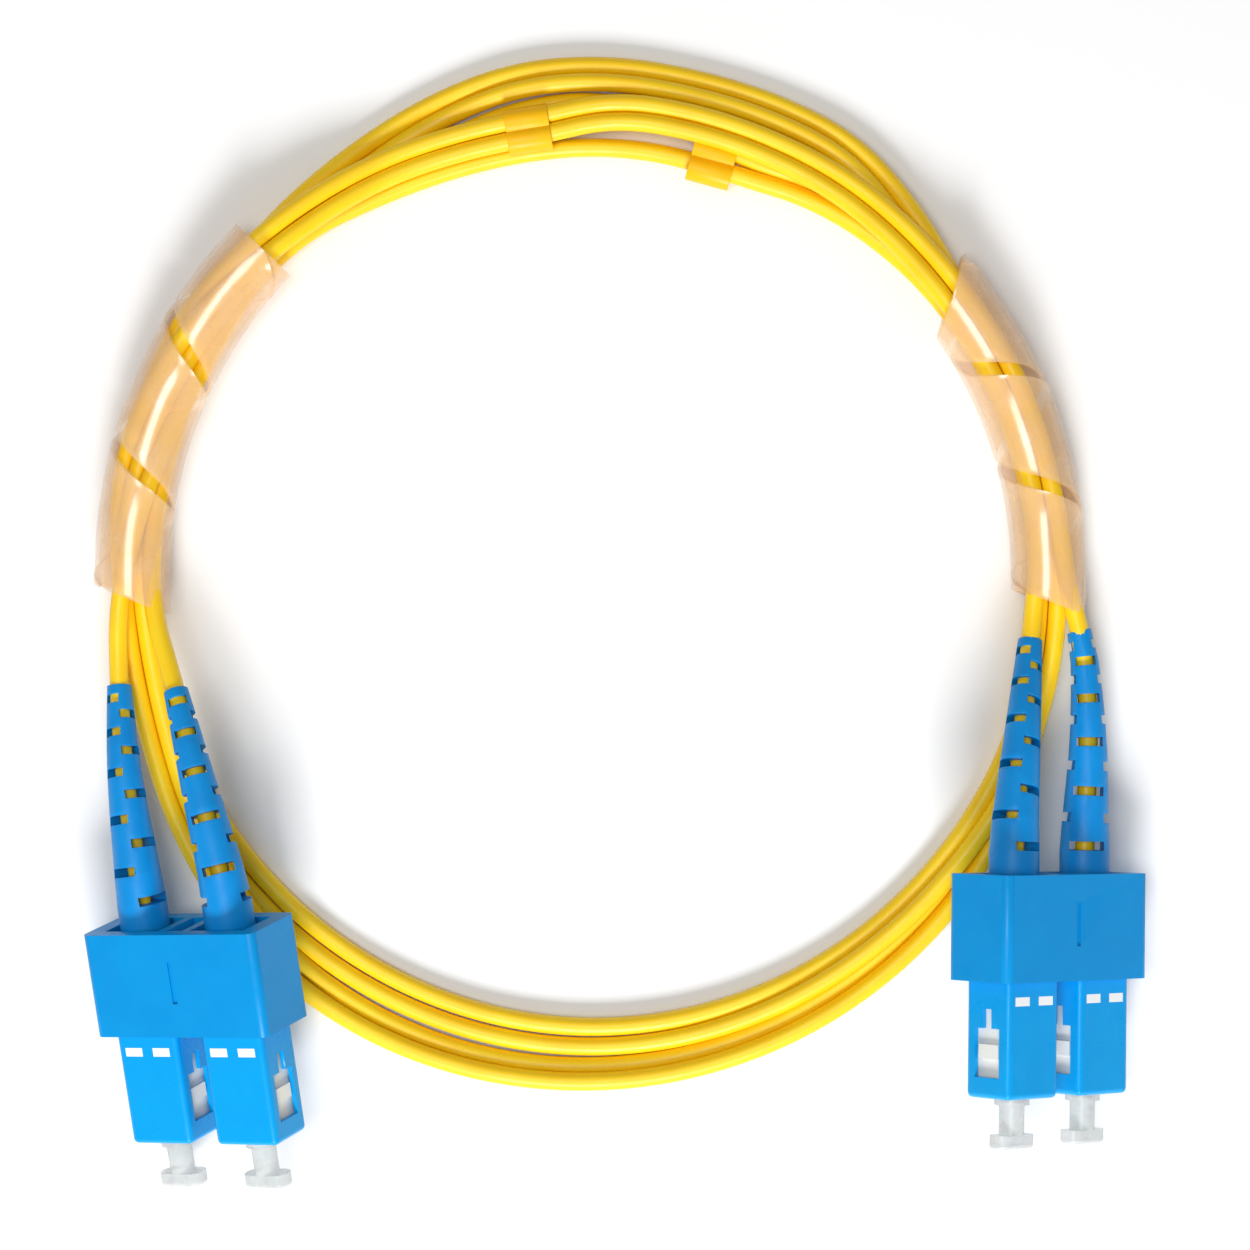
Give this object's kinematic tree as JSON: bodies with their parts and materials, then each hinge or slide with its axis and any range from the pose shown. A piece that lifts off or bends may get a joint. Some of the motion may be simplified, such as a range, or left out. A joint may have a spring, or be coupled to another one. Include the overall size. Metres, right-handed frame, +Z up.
{
  "type": "fiber optic patch cord",
  "caption": "Duplex fibre patch cord with push-pull plugs, slotted boots and dust caps at both ends, wound in a flat loose coil held by spiral wraps.",
  "frame": {"origin": "on the surface the cord lies on, under the centre of the box round everything but the cord", "axes": "+Z up from the surface, +X towards the right end's plugs, -Y the way the plugs face"},
  "size_m": [0.1337, 0.1445, 0.0242],
  "materials": {
    "jacket_yellow": "satin",
    "clip_blue": "moulded satin",
    "grip_blue": "moulded satin",
    "boot_blue": "soft satin",
    "frame_natural": "moulded",
    "mark_white": "printed",
    "cap_clear": "translucent",
    "wrap_clear": "translucent",
    "stop_amber": "translucent",
    "ferrule_ceramic": "polished",
    "nickel": "plated",
    "spring_steel": "drawn wire",
    "fibre_buffer": "satin"
  },
  "bodies": {
    "root": {"cord_coil": "jacket_yellow", "left_spiral_wrap": "wrap_clear", "left_split_stop": "stop_amber", "right_spiral_wrap": "wrap_clear", "right_split_stop": "stop_amber", "left_outer_cord_leg": "jacket_yellow", "left_outer_boot": "boot_blue", "left_outer_inner_frame": "frame_natural", "left_outer_stop_body": "nickel", "left_outer_crimp_ring": "nickel", "left_inner_cord_leg": "jacket_yellow", "left_inner_boot": "boot_blue", "left_inner_inner_frame": "frame_natural", "left_inner_stop_body": "nickel", "left_inner_crimp_ring": "nickel", "right_inner_cord_leg": "jacket_yellow", "right_inner_boot": "boot_blue", "right_inner_inner_frame": "frame_natural", "right_inner_stop_body": "nickel", "right_inner_crimp_ring": "nickel", "right_outer_cord_leg": "jacket_yellow", "right_outer_boot": "boot_blue", "right_outer_inner_frame": "frame_natural", "right_outer_stop_body": "nickel", "right_outer_crimp_ring": "nickel"},
    "left_grips": {"left_clip_cover": "clip_blue", "left_clip_tray": "clip_blue", "left_outer_grip": "grip_blue", "left_outer_insertion_marks": "mark_white", "left_inner_grip": "grip_blue", "left_inner_insertion_marks": "mark_white"},
    "right_grips": {"right_clip_cover": "clip_blue", "right_clip_tray": "clip_blue", "right_inner_grip": "grip_blue", "right_inner_insertion_marks": "mark_white", "right_outer_grip": "grip_blue", "right_outer_insertion_marks": "mark_white"},
    "left_outer_ferrule_float": {"left_outer_ferrule": "ferrule_ceramic", "left_outer_ferrule_holder": "nickel", "left_outer_ferrule_spring": "spring_steel", "left_outer_buffered_fibre": "fibre_buffer"},
    "left_outer_cap": {"left_outer_dust_cap": "cap_clear"},
    "left_inner_ferrule_float": {"left_inner_ferrule": "ferrule_ceramic", "left_inner_ferrule_holder": "nickel", "left_inner_ferrule_spring": "spring_steel", "left_inner_buffered_fibre": "fibre_buffer"},
    "left_inner_cap": {"left_inner_dust_cap": "cap_clear"},
    "right_inner_ferrule_float": {"right_inner_ferrule": "ferrule_ceramic", "right_inner_ferrule_holder": "nickel", "right_inner_ferrule_spring": "spring_steel", "right_inner_buffered_fibre": "fibre_buffer"},
    "right_inner_cap": {"right_inner_dust_cap": "cap_clear"},
    "right_outer_ferrule_float": {"right_outer_ferrule": "ferrule_ceramic", "right_outer_ferrule_holder": "nickel", "right_outer_ferrule_spring": "spring_steel", "right_outer_buffered_fibre": "fibre_buffer"},
    "right_outer_cap": {"right_outer_dust_cap": "cap_clear"}
  },
  "joints": [
    {"name": "left_grips_pull", "type": "slide", "parent": "root", "child": "left_grips", "axis": [-0.1306, 0.9787, 0.1582], "range_m": [0, 0.0016]},
    {"name": "right_grips_pull", "type": "slide", "parent": "root", "child": "right_grips", "axis": [0.0122, 0.9996, -0.0262], "range_m": [0, 0.0016]},
    {"name": "left_outer_ferrule_push", "type": "slide", "parent": "root", "child": "left_outer_ferrule_float", "axis": [-0.1306, 0.9787, 0.1582], "range_m": [0, 0.001], "stiffness_N_per_m": 1000},
    {"name": "left_outer_cap_pull", "type": "slide", "parent": "left_outer_ferrule_float", "child": "left_outer_cap", "axis": [0.1306, -0.9787, -0.1582], "range_m": [0, 0.009]},
    {"name": "left_inner_ferrule_push", "type": "slide", "parent": "root", "child": "left_inner_ferrule_float", "axis": [-0.1306, 0.9787, 0.1582], "range_m": [0, 0.001], "stiffness_N_per_m": 1000},
    {"name": "left_inner_cap_pull", "type": "slide", "parent": "left_inner_ferrule_float", "child": "left_inner_cap", "axis": [0.1306, -0.9787, -0.1582], "range_m": [0, 0.009]},
    {"name": "right_inner_ferrule_push", "type": "slide", "parent": "root", "child": "right_inner_ferrule_float", "axis": [0.0122, 0.9996, -0.0262], "range_m": [0, 0.001], "stiffness_N_per_m": 1000},
    {"name": "right_inner_cap_pull", "type": "slide", "parent": "right_inner_ferrule_float", "child": "right_inner_cap", "axis": [-0.0122, -0.9996, 0.0262], "range_m": [0, 0.009]},
    {"name": "right_outer_ferrule_push", "type": "slide", "parent": "root", "child": "right_outer_ferrule_float", "axis": [0.0122, 0.9996, -0.0262], "range_m": [0, 0.001], "stiffness_N_per_m": 1000},
    {"name": "right_outer_cap_pull", "type": "slide", "parent": "right_outer_ferrule_float", "child": "right_outer_cap", "axis": [-0.0122, -0.9996, 0.0262], "range_m": [0, 0.009]}
  ]
}
